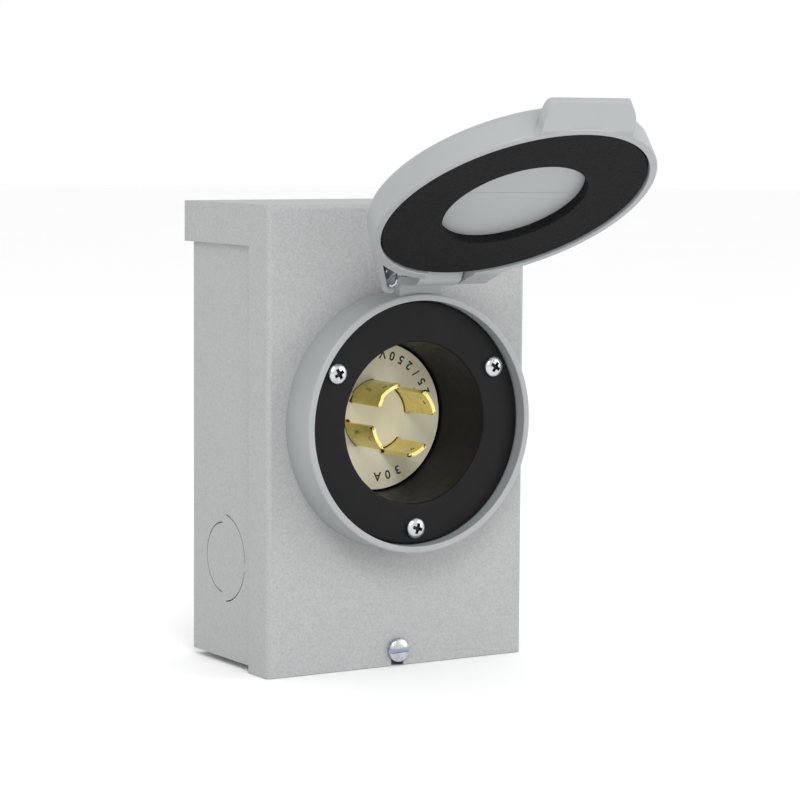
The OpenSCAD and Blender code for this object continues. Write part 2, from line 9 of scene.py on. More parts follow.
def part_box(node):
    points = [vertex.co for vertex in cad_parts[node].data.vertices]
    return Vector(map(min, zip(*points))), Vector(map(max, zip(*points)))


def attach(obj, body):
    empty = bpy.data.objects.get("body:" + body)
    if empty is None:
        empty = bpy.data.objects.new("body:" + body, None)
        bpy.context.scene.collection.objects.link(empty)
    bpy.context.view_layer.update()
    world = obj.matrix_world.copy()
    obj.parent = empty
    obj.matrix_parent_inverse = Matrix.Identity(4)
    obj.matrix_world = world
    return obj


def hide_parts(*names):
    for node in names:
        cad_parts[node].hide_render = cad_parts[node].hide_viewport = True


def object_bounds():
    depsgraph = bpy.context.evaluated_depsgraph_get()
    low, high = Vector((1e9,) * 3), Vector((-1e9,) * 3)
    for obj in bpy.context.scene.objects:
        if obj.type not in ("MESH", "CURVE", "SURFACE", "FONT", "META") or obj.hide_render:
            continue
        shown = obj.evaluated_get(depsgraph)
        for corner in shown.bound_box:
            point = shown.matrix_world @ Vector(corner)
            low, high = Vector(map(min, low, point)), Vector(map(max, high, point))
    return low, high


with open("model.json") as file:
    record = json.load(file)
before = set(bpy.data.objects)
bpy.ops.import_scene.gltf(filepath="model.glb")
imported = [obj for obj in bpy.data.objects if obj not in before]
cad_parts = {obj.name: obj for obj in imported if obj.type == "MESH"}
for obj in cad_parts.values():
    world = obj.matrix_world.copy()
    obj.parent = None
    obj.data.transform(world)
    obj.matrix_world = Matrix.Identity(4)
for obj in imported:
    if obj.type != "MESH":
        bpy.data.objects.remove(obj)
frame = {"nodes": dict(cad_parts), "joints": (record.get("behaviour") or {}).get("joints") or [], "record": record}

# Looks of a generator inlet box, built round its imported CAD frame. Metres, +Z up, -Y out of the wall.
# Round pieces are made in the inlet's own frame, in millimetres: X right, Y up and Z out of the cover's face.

CAD_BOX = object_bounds()
MM = 0.001
NODES = frame["nodes"]
JOINTS = {joint["name"]: joint for joint in frame["joints"]}

# Places read from the frame, in millimetres
HOUSING_LOW, HOUSING_HIGH = (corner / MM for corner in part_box("inlet_housing"))
COVER_SCREW_LOW, COVER_SCREW_HIGH = (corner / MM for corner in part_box("cover_screw"))
HINGE = Vector(JOINTS["lid_hinge"]["pos_m"]) / MM
LID_OPEN = math.radians(-JOINTS["lid_hinge"]["range_deg"][0])
FRONT_Y = (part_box("front_cover")[0] / MM).y
INLET_Z = (HOUSING_LOW.z + HOUSING_HIGH.z) / 2

# Collar and flange
FLANGE_R = (HOUSING_HIGH.x - HOUSING_LOW.x) / 2
FLANGE_FACE = FRONT_Y - HOUSING_LOW.y
FLANGE_T = 3.0
COLLAR_R = 51.0
RIM_WALL = 2.7
RIM_Z = 17.2
COLLAR_FLOOR = FLANGE_FACE - FLANGE_T - 0.8
COLLAR_HOLE_R = 34.6
CUP_MOUTH_R = 31.9
CUP_BASE_R = 30.4
FACE_Z = FLANGE_FACE - 29.6
FACE_T = 4.0
SCREW_CIRCLE_R = 41.6
SCREW_ANGLES = (30, 150, 270)

# Hinge and lid, in the closed lid's frame
HINGE_RISE = HINGE.z - INLET_Z
HINGE_Z = FRONT_Y - HINGE.y
BARREL_R = 6.5
BARREL_W = 19.4
PIN_R = 1.5
PIN_END_X = 22.5
LID_R = 54.8
SKIRT_EDGE = RIM_Z - 0.5
LID_TOP = SKIRT_EDGE + 12.0
SKIRT_IN_R = COLLAR_R + 0.7
GASKET_FACE = RIM_Z + 0.3
GASKET_T = 3.5
GASKET_R = COLLAR_R + 0.3
GASKET_HOLE_R = 27.9
LINER_T = 1.6
SLOT_W = BARREL_W + 1.6

# Right lug: its end, and the radius of its knuckle
LUG_END_X = 23.5
LUG_R = 6.2

# Left lug: direction in degrees that its shoulder faces, corner in plan, edge in side view, and wall
WING_ANGLE = 147.7
WING_EDGE = LID_R - 0.4
WING_R = 7.0
WING_EDGE_R = 4.0
WING_WALL = 2.0
WING_FACING = Vector((math.cos(math.radians(WING_ANGLE)), math.sin(math.radians(WING_ANGLE))))
WING_Y = HINGE_RISE + WING_EDGE_R - WING_R
WING_X = (WING_EDGE - WING_R - WING_Y * WING_FACING.y) / WING_FACING.x
WING_Z = HINGE_Z + 2.3

# Blades: start and end angles, anticlockwise seen from the front
BLADE_R = 15.0
BLADE_T = 1.5
BLADE_TIP = FACE_Z + 21.3
BLADES = {
    "blade_ground": (98, 135),
    "blade_neutral": (186, 228),
    "blade_line_x": (6, 51),
    "blade_line_y": (280, 316),
}

AT_INLET = Matrix.Translation((0, FRONT_Y, INLET_Z)) @ Matrix.Rotation(math.pi / 2, 4, "X")
AT_LID = (
    AT_INLET
    @ Matrix.Translation((0, HINGE_RISE, HINGE_Z))
    @ Matrix.Rotation(-LID_OPEN, 4, "X")
    @ Matrix.Translation((0, -HINGE_RISE, -HINGE_Z))
)


# ---------------------------------------------------------------- outlines


def rounded(points, steps=6):
    """A closed outline in which each corner (x, y, radius) becomes an arc, and each (x, y) stays sharp."""
    outline = []
    for i, point in enumerate(points):
        here = Vector(point[:2])
        radius = point[2] if len(point) > 2 else 0
        if radius <= 0:
            outline.append(here)
            continue
        to_last = Vector(points[i - 1][:2]) - here
        to_next = Vector(points[(i + 1) % len(points)][:2]) - here
        a, b = to_last.normalized(), to_next.normalized()
        half = math.acos(max(-1, min(1, a.dot(b)))) / 2
        reach = min(radius / math.tan(half), to_last.length * 0.48, to_next.length * 0.48)
        radius = reach * math.tan(half)
        centre = here + (a + b).normalized() * (radius / math.sin(half))
        first, last = here + a * reach - centre, here + b * reach - centre
        turn = math.atan2(first.x * last.y - first.y * last.x, first.dot(last))
        for k in range(steps + 1):
            angle = turn * k / steps
            c, s = math.cos(angle), math.sin(angle)
            outline.append(centre + Vector((first.x * c - first.y * s, first.x * s + first.y * c)))
    return outline


def arc_points(centre, radius, start, end, steps):
    """Points on an arc, with the angles in degrees."""
    angles = (math.radians(start + (end - start) * k / steps) for k in range(steps + 1))
    return [Vector((centre[0] + radius * math.cos(a), centre[1] + radius * math.sin(a))) for a in angles]


# ---------------------------------------------------------------- solids, in millimetres


def new_piece(name, bm, placed=Matrix.Identity(4)):
    """An object from a bmesh in millimetres, with its place baked into the mesh in metres."""
    bmesh.ops.recalc_face_normals(bm, faces=bm.faces)
    bm.transform(Matrix.Scale(MM, 4) @ placed)
    mesh = bpy.data.meshes.new(name)
    bm.to_mesh(mesh)
    bm.free()
    piece = bpy.data.objects.new(name, mesh)
    bpy.context.scene.collection.objects.link(piece)
    return piece


def lathe(outline, segments=144):
    """A solid turned about Z from a closed outline of (radius, depth)."""
    bm = bmesh.new()
    rings = []
    for radius, depth in outline:
        if radius < 1e-6:
            rings.append([bm.verts.new((0, 0, depth))])
            continue
        turns = (2 * math.pi * k / segments for k in range(segments))
        rings.append([bm.verts.new((radius * math.cos(t), radius * math.sin(t), depth)) for t in turns])
    for i, ring in enumerate(rings):
        after = rings[(i + 1) % len(rings)]
        if len(ring) == 1 and len(after) == 1:
            continue
        for k in range(segments):
            n = (k + 1) % segments
            corners = [ring[k % len(ring)], ring[n % len(ring)], after[n % len(after)], after[k % len(after)]]
            bm.faces.new(list(dict.fromkeys(corners)))
    return bm


def prism(outline, low, high):
    """A solid extruded along Z from a closed outline."""
    bm = bmesh.new()
    ends = [[bm.verts.new((p[0], p[1], z)) for p in outline] for z in (low, high)]
    for end in ends:
        bm.faces.new(end)
    for k in range(len(outline)):
        n = (k + 1) % len(outline)
        bm.faces.new((ends[0][k], ends[0][n], ends[1][n], ends[1][k]))
    return bm


def slab(low, high):
    """A rectangular solid between two corners."""
    outline = [(low[0], low[1]), (high[0], low[1]), (high[0], high[1]), (low[0], high[1])]
    return prism(outline, low[2], high[2])


def rod(radius, low, high, segments=48):
    """A round solid along Z."""
    return lathe([(0, low), (radius, low), (radius, high), (0, high)], segments)


# Turns a solid made along Z so that it lies along X
ALONG_X = Matrix(((0, 0, 1, 0), (1, 0, 0, 0), (0, 1, 0, 0), (0, 0, 0, 1)))


def apply_modifiers(piece):
    """Bakes a piece's modifiers into its mesh."""
    depsgraph = bpy.context.evaluated_depsgraph_get()
    mesh = bpy.data.meshes.new_from_object(piece.evaluated_get(depsgraph))
    piece.modifiers.clear()
    piece.data = mesh
    return piece


def combine(piece, operation, *tools):
    """Joins, cuts or intersects a piece with the tools, which are used up."""
    for tool in tools:
        boolean = piece.modifiers.new("combine", "BOOLEAN")
        boolean.operation = operation
        boolean.solver = "EXACT"
        boolean.object = tool
        apply_modifiers(piece)
        bpy.data.objects.remove(tool)
    return piece


def soften(piece, width, segments=3, angle=32):
    """Rounds a piece's sharp edges, width in millimetres."""
    bevel = piece.modifiers.new("soften", "BEVEL")
    bevel.width = width * MM
    bevel.segments = segments
    bevel.limit_method = "ANGLE"
    bevel.angle_limit = math.radians(angle)
    bevel.use_clamp_overlap = True
    return apply_modifiers(piece)


def smooth(piece, angle=38):
    """Smooth shading that keeps real edges sharp."""
    piece.data.shade_smooth()
    piece.data.set_sharp_from_angle(angle=math.radians(angle))
    weighted = piece.modifiers.new("shading", "WEIGHTED_NORMAL")
    weighted.keep_sharp = True
    return piece


def place(piece, body, slot, material, *nodes):
    """Gives a finished piece its smooth shading, material and body, and hides the CAD nodes that it stands for."""
    smooth(piece)
    piece.data.materials.clear()
    piece.data.materials.append(material)
    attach(piece, body)
    if nodes:
        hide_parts(*nodes)
    return piece


# ---------------------------------------------------------------- materials


def shader(name, color, roughness, metallic=0.0, specular=0.5):
    """A new node material, with its tree and its shader."""
    material = bpy.data.materials.new(name)
    material.use_nodes = True
    tree = material.node_tree
    principled = tree.nodes["Principled BSDF"]
    principled.inputs["Base Color"].default_value = (*color, 1)
    principled.inputs["Roughness"].default_value = roughness
    principled.inputs["Metallic"].default_value = metallic
    principled.inputs["Specular IOR Level"].default_value = specular
    return material, tree, principled


def noise(tree, scale, detail=3.0, roughness=0.55, stretch=(1, 1, 1)):
    """Noise in the part's own frame, its scale in features per metre."""
    coords = tree.nodes.new("ShaderNodeTexCoord")
    mapping = tree.nodes.new("ShaderNodeMapping")
    texture = tree.nodes.new("ShaderNodeTexNoise")
    mapping.inputs["Scale"].default_value = stretch
    texture.inputs["Scale"].default_value = scale
    texture.inputs["Detail"].default_value = detail
    texture.inputs["Roughness"].default_value = roughness
    tree.links.new(coords.outputs["Object"], mapping.inputs["Vector"])
    tree.links.new(mapping.outputs["Vector"], texture.inputs["Vector"])
    return texture.outputs["Fac"]


def pores(tree, scale):
    """Distance to the nearest cell centre, for foam and grit."""
    coords = tree.nodes.new("ShaderNodeTexCoord")
    texture = tree.nodes.new("ShaderNodeTexVoronoi")
    texture.inputs["Scale"].default_value = scale
    tree.links.new(coords.outputs["Object"], texture.inputs["Vector"])
    return texture.outputs["Distance"]


def spread(tree, value, low, high, low_at=0.3, high_at=0.7):
    """Maps a noise value to a range."""
    node = tree.nodes.new("ShaderNodeMapRange")
    node.inputs["From Min"].default_value = low_at
    node.inputs["From Max"].default_value = high_at
    node.inputs["To Min"].default_value = low
    node.inputs["To Max"].default_value = high
    tree.links.new(value, node.inputs["Value"])
    return node.outputs["Result"]


def mottle(tree, principled, value, dark, light):
    """Colours the surface between two colours by a value."""
    ramp = tree.nodes.new("ShaderNodeValToRGB")
    ramp.color_ramp.elements[0].position = 0.32
    ramp.color_ramp.elements[0].color = (*dark, 1)
    ramp.color_ramp.elements[1].position = 0.68
    ramp.color_ramp.elements[1].color = (*light, 1)
    tree.links.new(value, ramp.inputs["Fac"])
    tree.links.new(ramp.outputs["Color"], principled.inputs["Base Color"])


def bump(tree, principled, value, distance_mm, strength=1.0):
    """Raises the surface by a value, its height in millimetres, on top of any earlier bump."""
    node = tree.nodes.new("ShaderNodeBump")
    node.inputs["Distance"].default_value = distance_mm * MM
    node.inputs["Strength"].default_value = strength
    tree.links.new(value, node.inputs["Height"])
    earlier = principled.inputs["Normal"].links
    if earlier:
        tree.links.new(earlier[0].from_socket, node.inputs["Normal"])
    tree.links.new(node.outputs["Normal"], principled.inputs["Normal"])


def shade(color, factor):
    return tuple(min(1.0, c * factor) for c in color)


def powder_coat():
    base = (0.352, 0.358, 0.360)
    material, tree, principled = shader("powder_coat", base, 0.55, specular=0.45)
    grain = noise(tree, 1300, detail=4, roughness=0.7)
    mottle(tree, principled, grain, shade(base, 0.86), shade(base, 1.13))
    bump(tree, principled, noise(tree, 650, detail=2), 0.10, 0.55)
    bump(tree, principled, grain, 0.035, 0.6)
    tree.links.new(spread(tree, noise(tree, 420), 0.48, 0.62), principled.inputs["Roughness"])
    return material


def moulded_grey():
    base = (0.312, 0.330, 0.336)
    material, tree, principled = shader("collar_plastic", base, 0.36, specular=0.5)
    mottle(tree, principled, noise(tree, 60, detail=2), shade(base, 0.985), shade(base, 1.015))
    bump(tree, principled, noise(tree, 2600, detail=2), 0.012, 0.35)
    tree.links.new(spread(tree, noise(tree, 240), 0.32, 0.42), principled.inputs["Roughness"])
    return material


def black_nylon():
    base = (0.005, 0.005, 0.0055)
    material, tree, principled = shader("black_nylon", base, 0.42, specular=0.16)
    mottle(tree, principled, noise(tree, 90, detail=3), shade(base, 0.85), shade(base, 1.2))
    bump(tree, principled, noise(tree, 3000, detail=2), 0.015, 0.5)
    tree.links.new(spread(tree, noise(tree, 300), 0.36, 0.48), principled.inputs["Roughness"])
    return material


def cream_nylon():
    base = (0.76, 0.72, 0.54)
    material, tree, principled = shader("cream_nylon", base, 0.34)
    principled.inputs["Subsurface Weight"].default_value = 0.05
    principled.inputs["Subsurface Radius"].default_value = (0.002, 0.0015, 0.001)
    mottle(tree, principled, noise(tree, 120, detail=3), shade(base, 0.96), shade(base, 1.03))
    bump(tree, principled, noise(tree, 1800, detail=2), 0.012, 0.4)
    return material


def foam_rubber():
    base = (0.008, 0.008, 0.0083)
    material, tree, principled = shader("foam_rubber", base, 0.85, specular=0.13)
    mottle(tree, principled, noise(tree, 900, detail=4, roughness=0.7), shade(base, 0.6), shade(base, 1.7))
    bump(tree, principled, pores(tree, 1500), 0.16, 0.7)
    bump(tree, principled, noise(tree, 500, detail=3), 0.10, 0.5)
    return material


def metal(name, color, roughness, streaks):
    """Stamped or plated metal with fine streaks and a cloudy gloss."""
    material, tree, principled = shader(name, color, roughness, metallic=1.0)
    cloud = noise(tree, 350, detail=4)
    mottle(tree, principled, cloud, shade(color, 0.88), shade(color, 1.08))
    tree.links.new(spread(tree, cloud, roughness * 0.75, roughness * 1.35), principled.inputs["Roughness"])
    bump(tree, principled, noise(tree, 900, detail=3, stretch=streaks), 0.012, 0.5)
    return material


def printed_ink():
    base = (0.02, 0.02, 0.02)
    material, tree, principled = shader("printed_ink", base, 0.5)
    mottle(tree, principled, noise(tree, 900), shade(base, 0.7), shade(base, 1.6))
    return material


def pale_floor():
    base = (0.97, 0.97, 0.97)
    material, tree, principled = shader("pale_floor", base, 0.7, specular=0.2)
    mottle(tree, principled, noise(tree, 3), shade(base, 0.995), shade(base, 1.005))
    return material


POWDER = powder_coat()
GREY = moulded_grey()
BLACK = black_nylon()
CREAM = cream_nylon()
FOAM = foam_rubber()
BRASS = metal("brass", (0.80, 0.68, 0.25), 0.16, (1, 0.15, 1))
ZINC = metal("zinc", (0.56, 0.58, 0.62), 0.26, (1, 1, 0.2))
# Painted shade: a darker, blue-grey zinc for the floor and walls of the cover screw's slot
PAINTED_SLOT_SHADE = metal("painted_slot_shade", (0.36, 0.39, 0.50), 0.4, (1, 1, 0.2))
# Painted shade: near-black zinc for the faces inside the flange screws' driver recesses
PAINTED_RECESS_SHADE = metal("painted_recess_shade", (0.05, 0.05, 0.055), 0.5, (1, 1, 0.2))
GREEN = metal("green_zinc", (0.05, 0.30, 0.12), 0.35, (1, 1, 0.2))
INK = printed_ink()

SLOT_MATERIALS = {
    "powder_coat": POWDER,
    "collar_plastic": GREY,
    "black_nylon": BLACK,
    "cream_nylon": CREAM,
    "foam_rubber": FOAM,
    "brass": BRASS,
    "zinc": ZINC,
    "green_zinc": GREEN,
}


def dress_cad_nodes():
    """Gives every CAD node its material, and the folded steel its softened edges."""
    for row in frame["record"]["subparts"]:
        node = NODES[row["node"]]
        node.data.materials.clear()
        node.data.materials.append(SLOT_MATERIALS[row["material_slot"]])
    softened = {"front_cover": 0.25, "back_box": 0.25, "knockout_rings": 0.12, "knockout_slugs": 0.12}
    for name, width in softened.items():
        node = NODES[name]
        flat = node.modifiers.new("flat_faces", "DECIMATE")
        flat.decimate_type = "DISSOLVE"
        flat.angle_limit = math.radians(0.6)
        bevel = node.modifiers.new("soften", "BEVEL")
        bevel.width = width * MM
        bevel.segments = 2
        bevel.limit_method = "ANGLE"
        bevel.angle_limit = math.radians(40)
        bevel.harden_normals = True


# ---------------------------------------------------------------- lid


def knuckle_side():
    """Outline of the right lug from the side, (up, out)."""
    knuckle = arc_points((HINGE_RISE, HINGE_Z), LUG_R, -90, 90, 20)
    return [(24, SKIRT_EDGE), (52, SKIRT_EDGE), *knuckle, (50, LID_TOP - 0.6), (24, LID_TOP - 2)]


def wing_plan(inset):
    """Outline of the left lug from above: a shoulder from the lid's edge that turns in to the barrel."""
    reach = WING_R - inset
    corner = arc_points((WING_X, WING_Y), reach, WING_ANGLE, 90, 14)
    return [(0, 30), (WING_EDGE - inset) * WING_FACING, *corner, (0, WING_Y + reach)]


def wing_side(inset):
    """Outline of the left lug from the side, (up, out)."""
    reach = WING_EDGE_R - inset
    low = SKIRT_EDGE - inset
    edge = arc_points((HINGE_RISE, WING_Z), reach, 0, 90, 10)
    top = [(50, LID_TOP - 0.6 - inset), (24, LID_TOP - 2 - inset)]
    return [(24, low), (HINGE_RISE + reach, low), *edge, *top]


def wing(inset):
    """Solid inside the left lug's outlines, one inset in from them."""
    block = new_piece("wing", prism(wing_plan(inset), SKIRT_EDGE - inset, 40))
    return combine(block, "INTERSECT", new_piece("side", prism(wing_side(inset), -60, 60), ALONG_X))


def hinge_lugs():
    """Left lug, a hollow wing over the spring with a rib for the pin, and the solid right one."""
    lugs = soften(wing(0), 0.5, 3)
    hollow = wing(WING_WALL)
    combine(hollow, "DIFFERENCE", new_piece("wall", rod(LID_R + 0.2, -5, 60, 144)))
    combine(hollow, "DIFFERENCE", new_piece("rib", slab((-21, 40, HINGE_Z - 3.2), (-19.4, 80, 45))))
    combine(lugs, "DIFFERENCE", hollow)
    window = slab((-19, HINGE_RISE + WING_EDGE_R - WING_WALL - 0.1, 0), (0, 80, WING_Z))
    combine(lugs, "DIFFERENCE", new_piece("window", window))
    knuckle = soften(new_piece("knuckle", prism(knuckle_side(), 0, LUG_END_X), ALONG_X), 0.7, 4)
    combine(lugs, "UNION", knuckle)
    return combine(lugs, "DIFFERENCE", new_piece("core", rod(LID_R - 1.2, -5, 60, 144)))


def thumb_tab():
    """The tab: a slab flared away from the collar, with round corners and roots that sweep into the lid."""
    half, slab_t, reach, root, corner, tip, sweep = 20.0, 3.4, 11.5, 7.0, 7.0, 63.6, 5.0
    corner_x = half - corner
    corner_y = -math.sqrt((tip - corner) ** 2 - corner_x ** 2)
    spread_angle = math.degrees(math.atan2(corner_x, -corner_y))
    root_x = half + sweep
    root_y = -math.sqrt((LID_R + sweep - 0.5) ** 2 - root_x ** 2)
    right = [
        *arc_points((0, 0), tip, -90, -90 + spread_angle, 6)[:-1],
        *arc_points((corner_x, corner_y), corner, -90 + spread_angle, 0, 10),
        *arc_points((root_x, root_y), sweep, 180, 108, 8),
        (root_x - 1.5, -40),
    ]
    left = [Vector((-p[0], p[1])) for p in reversed(right[1:])]
    tab = new_piece("thumb_tab", prism(right + left, 0, 40))
    profile = rounded([(-root, 0), (reach, 0, 1.5), (reach, -slab_t, 1.5), (-root, -slab_t)], 5)
    flare = math.radians(140)
    start = Vector((-LID_R + 0.8, SKIRT_EDGE + 0.5))
    across = [start + Vector((p.x * math.cos(flare) - p.y * math.sin(flare),
                              p.x * math.sin(flare) + p.y * math.cos(flare))) for p in profile]
    combine(tab, "INTERSECT", new_piece("flare", prism(across, -40, 40), ALONG_X))
    soften(tab, 0.9, 4, 50)
    combine(tab, "DIFFERENCE", new_piece("core", rod(LID_R - 1.2, -5, 60, 144)))
    below = slab((-60, -90, SKIRT_EDGE - 20), (60, 0, SKIRT_EDGE + 0.3))
    return combine(tab, "DIFFERENCE", new_piece("below", below))


def flip_lid():
    """Moulded lid: turned shell, hinge lugs with their hollows, and the thumb tab."""
    liner_seat = GASKET_FACE + GASKET_T + LINER_T
    cavity_top = LID_TOP - 2.6
    shell = new_piece("flip_lid_shell", lathe(rounded([
        (0, LID_TOP - 0.5),
        (43.5, LID_TOP - 0.5, 0.5),
        (44.5, LID_TOP, 0.5),
        (LID_R - 0.6, LID_TOP, 3),
        (LID_R, SKIRT_EDGE, 0.6),
        (SKIRT_IN_R, SKIRT_EDGE, 0.4),
        (SKIRT_IN_R, liner_seat),
        (SKIRT_IN_R - 2.4, liner_seat),
        (SKIRT_IN_R - 2.4, cavity_top, 1.5),
        (0, cavity_top),
    ])))
    combine(shell, "UNION", hinge_lugs())
    # Notch that the barrel and its arm stand in
    low_notch = slab((-SLOT_W / 2, SKIRT_IN_R - 1.2, -5), (SLOT_W / 2, LID_R + 30, liner_seat))
    combine(shell, "DIFFERENCE", new_piece("low_notch", low_notch))
    notch = slab((-SLOT_W / 2, SKIRT_IN_R, -5), (SLOT_W / 2, LID_R + 30, 60))
    combine(shell, "DIFFERENCE", new_piece("notch", notch))
    combine(shell, "UNION", thumb_tab())
    combine(shell, "DIFFERENCE", new_piece("bore", rod(PIN_R + 0.02, -PIN_END_X, PIN_END_X),
                                           Matrix.Translation((0, HINGE_RISE, HINGE_Z)) @ ALONG_X))
    shell.data.transform(Matrix.Scale(MM, 4) @ AT_LID @ Matrix.Scale(1 / MM, 4))
    shell.name = "lid_moulding"
    return place(shell, "lid", "collar_plastic", GREY, "flip_lid")


def lid_linings():
    """Liner disc with a faint mould line, and the foam gasket that it backs."""
    seat = GASKET_FACE + GASKET_T
    liner = new_piece("liner_disc", lathe(rounded([
        (0, seat - 0.02), (GASKET_HOLE_R - 0.6, seat - 0.02, 0.3), (GASKET_HOLE_R - 0.2, seat, 0.2),
        (SKIRT_IN_R - 0.2, seat), (SKIRT_IN_R - 0.2, seat + LINER_T), (0, seat + LINER_T),
    ])), AT_LID)
    mould_line = slab((-27, -4.08, seat - 0.2), (27, -3.92, seat + 0.06))
    combine(liner, "DIFFERENCE", new_piece("mould_line", mould_line, AT_LID))
    place(liner, "lid", "collar_plastic", GREY, "lid_liner")
    gasket = new_piece("foam_gasket", lathe(rounded([
        (GASKET_HOLE_R, GASKET_FACE, 0.5), (GASKET_R, GASKET_FACE, 0.7),
        (GASKET_R, seat), (GASKET_HOLE_R, seat),
    ])), AT_LID)
    place(gasket, "lid", "foam_rubber", FOAM, "lid_gasket")


def wire(name, points, radius, placed):
    """A round wire through points in millimetres, as a mesh."""
    curve = bpy.data.curves.new(name, "CURVE")
    curve.dimensions = "3D"
    curve.bevel_depth = radius * MM
    curve.bevel_resolution = 4
    curve.use_fill_caps = True
    spline = curve.splines.new("POLY")
    spline.points.add(len(points) - 1)
    for point, where in zip(spline.points, points):
        point.co = (*((placed @ Vector(where)) * MM), 1)
    helper = bpy.data.objects.new(name + "_path", curve)
    bpy.context.scene.collection.objects.link(helper)
    depsgraph = bpy.context.evaluated_depsgraph_get()
    mesh = bpy.data.meshes.new_from_object(helper.evaluated_get(depsgraph))
    bpy.data.objects.remove(helper)
    piece = bpy.data.objects.new(name, mesh)
    bpy.context.scene.collection.objects.link(piece)
    return piece


def torsion_spring():
    """Coil round the pin in the left lug's hollow, with one leg along the lid."""
    turns, coil_r, wire_r, steps = 6.6, 2.35, 0.55, 20
    start = -SLOT_W / 2 - 0.8
    points = []
    for k in range(int(turns * steps) + 1):
        angle = 2 * math.pi * k / steps
        x = start - 1.1 * k / steps
        points.append((x, HINGE_RISE + coil_r * math.cos(angle), HINGE_Z - coil_r * math.sin(angle)))
    # The leg that bears on the end of the lug's wall
    end_x = points[-1][0]
    points += [
        (end_x - 0.4, 59.4, 20.4),
        (end_x - 1.0, 60.6, 18.6),
        (end_x - 2.2, 61.9, 18.2),
        (end_x - 3.6, 61.4, 18.4),
    ]
    spring = wire("torsion_spring", points, wire_r, AT_LID)
    place(spring, "lid", "zinc", ZINC, "lid_spring")
    pin = new_piece("pin", lathe(rounded([
        (0, -PIN_END_X), (PIN_R, -PIN_END_X, 0.4), (PIN_R, PIN_END_X, 0.4), (0, PIN_END_X),
    ]), 48), AT_LID @ Matrix.Translation((0, HINGE_RISE, HINGE_Z)) @ ALONG_X)
    place(pin, "lid", "zinc", ZINC, "hinge_pin")


# ---------------------------------------------------------------- collar and inlet


def inlet_collar():
    """Moulded collar: turned ring with a floor, and the post that carries the hinge barrel."""
    rim_in = COLLAR_R - RIM_WALL
    ring = new_piece("collar_moulding", lathe(rounded([
        (COLLAR_R + 0.3, 0, 0.3),
        (COLLAR_R, RIM_Z, 0.9),
        (rim_in, RIM_Z, 0.4),
        (rim_in, COLLAR_FLOOR, 0.3),
        (COLLAR_HOLE_R, COLLAR_FLOOR, 0.3),
        (COLLAR_HOLE_R, 1.2),
        (COLLAR_HOLE_R + 2.4, 1.2),
        (COLLAR_HOLE_R + 2.4, COLLAR_FLOOR - 3),
        (rim_in, COLLAR_FLOOR - 3, 0.8),
        (rim_in, 0),
    ]), 180))
    for angle in SCREW_ANGLES:
        turn = Matrix.Rotation(math.radians(angle), 4, "Z") @ Matrix.Translation((SCREW_CIRCLE_R, 0, 0))
        combine(ring, "UNION", new_piece("boss", rod(5, 1.2, COLLAR_FLOOR - 1, 40), turn))
        combine(ring, "DIFFERENCE", new_piece("hole", rod(2.3, 0, 20, 32), turn))
    face = RIM_Z - 1.5
    back = face - 4
    side = [
        (COLLAR_R - 2, back),
        (HINGE_RISE + BARREL_R, back, 0.8),
        (HINGE_RISE + BARREL_R, HINGE_Z - 0.2),
        *arc_points((HINGE_RISE, HINGE_Z), BARREL_R, 0, 180, 28),
        (HINGE_RISE - BARREL_R, HINGE_Z - 0.2),
        (HINGE_RISE - BARREL_R, face + 0.6),
        (HINGE_RISE - BARREL_R - 0.6, face),
        (COLLAR_R - 2, face),
    ]
    post = new_piece("post", prism(rounded(side), -BARREL_W / 2, BARREL_W / 2), ALONG_X)
    soften(post, 0.45, 3, 40)
    combine(post, "UNION", new_piece("rib", slab((-1.5, COLLAR_R - 2, 3), (1.5, COLLAR_R + 8, back + 1))))
    combine(post, "DIFFERENCE", new_piece("inside", rod(rim_in + 1, -1, 40, 180)))
    combine(ring, "UNION", post)
    bore = rod(PIN_R + 0.05, -BARREL_W, BARREL_W)
    on_axis = Matrix.Translation((0, HINGE_RISE, HINGE_Z)) @ ALONG_X
    combine(ring, "DIFFERENCE", new_piece("bore", bore, on_axis))
    ring.data.transform(Matrix.Scale(MM, 4) @ AT_INLET @ Matrix.Scale(1 / MM, 4))
    return place(ring, "cover", "collar_plastic", GREY, "inlet_collar")


def inlet_housing():
    """Black flange and cup, turned in one piece."""
    back = FACE_Z - FACE_T
    housing = new_piece("inlet_moulding", lathe(rounded([
        (CUP_MOUTH_R, FLANGE_FACE, 0.9),
        (FLANGE_R, FLANGE_FACE, 0.8),
        (FLANGE_R, FLANGE_FACE - FLANGE_T, 0.3),
        (CUP_MOUTH_R + 2, FLANGE_FACE - FLANGE_T),
        (CUP_BASE_R + 2, back - 2),
        (25.5, back - 2),
        (25.5, back),
        (CUP_BASE_R, back),
        (CUP_BASE_R, FACE_Z, 0.0),
    ]), 180), AT_INLET)
    for angle in SCREW_ANGLES:
        turn = Matrix.Rotation(math.radians(angle), 4, "Z") @ Matrix.Translation((SCREW_CIRCLE_R, 0, 0))
        combine(housing, "DIFFERENCE", new_piece("hole", rod(2.3, 0, 20, 32), AT_INLET @ turn))
    return place(housing, "cover", "black_nylon", BLACK, "inlet_housing")


